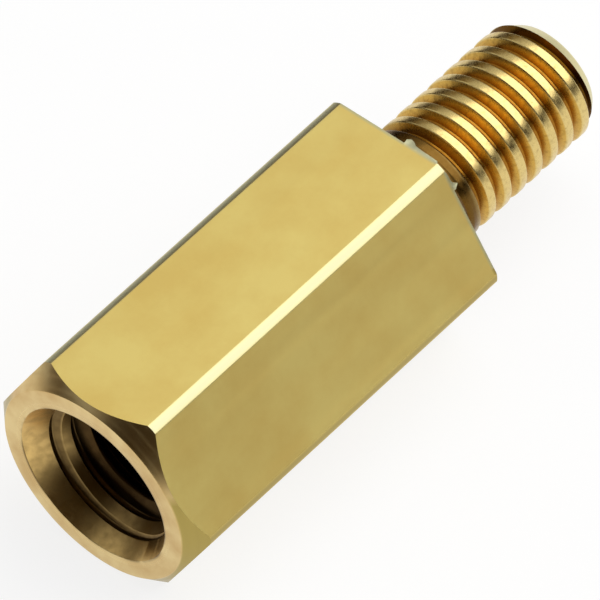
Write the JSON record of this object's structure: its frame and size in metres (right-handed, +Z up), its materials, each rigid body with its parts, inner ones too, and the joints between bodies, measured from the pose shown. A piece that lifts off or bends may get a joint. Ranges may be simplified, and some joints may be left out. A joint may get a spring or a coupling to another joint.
{
  "type": "hex standoff",
  "caption": "Brass hexagonal spacer with a countersunk blind tapped hole in one end and a threaded stud on the other, for holding boards apart.",
  "frame": {"origin": "on the flat that the standoff lies on, below the middle of its overall length", "axes": "+X along the standoff's axis from the tapped end to the stud's tip, +Z up out of the flat it lies on"},
  "size_m": [0.0144, 0.0056, 0.005],
  "materials": {
    "brass": "satin drawn and turned brass"
  },
  "bodies": {
    "root": {"standoff": "brass"}
  },
  "joints": []
}
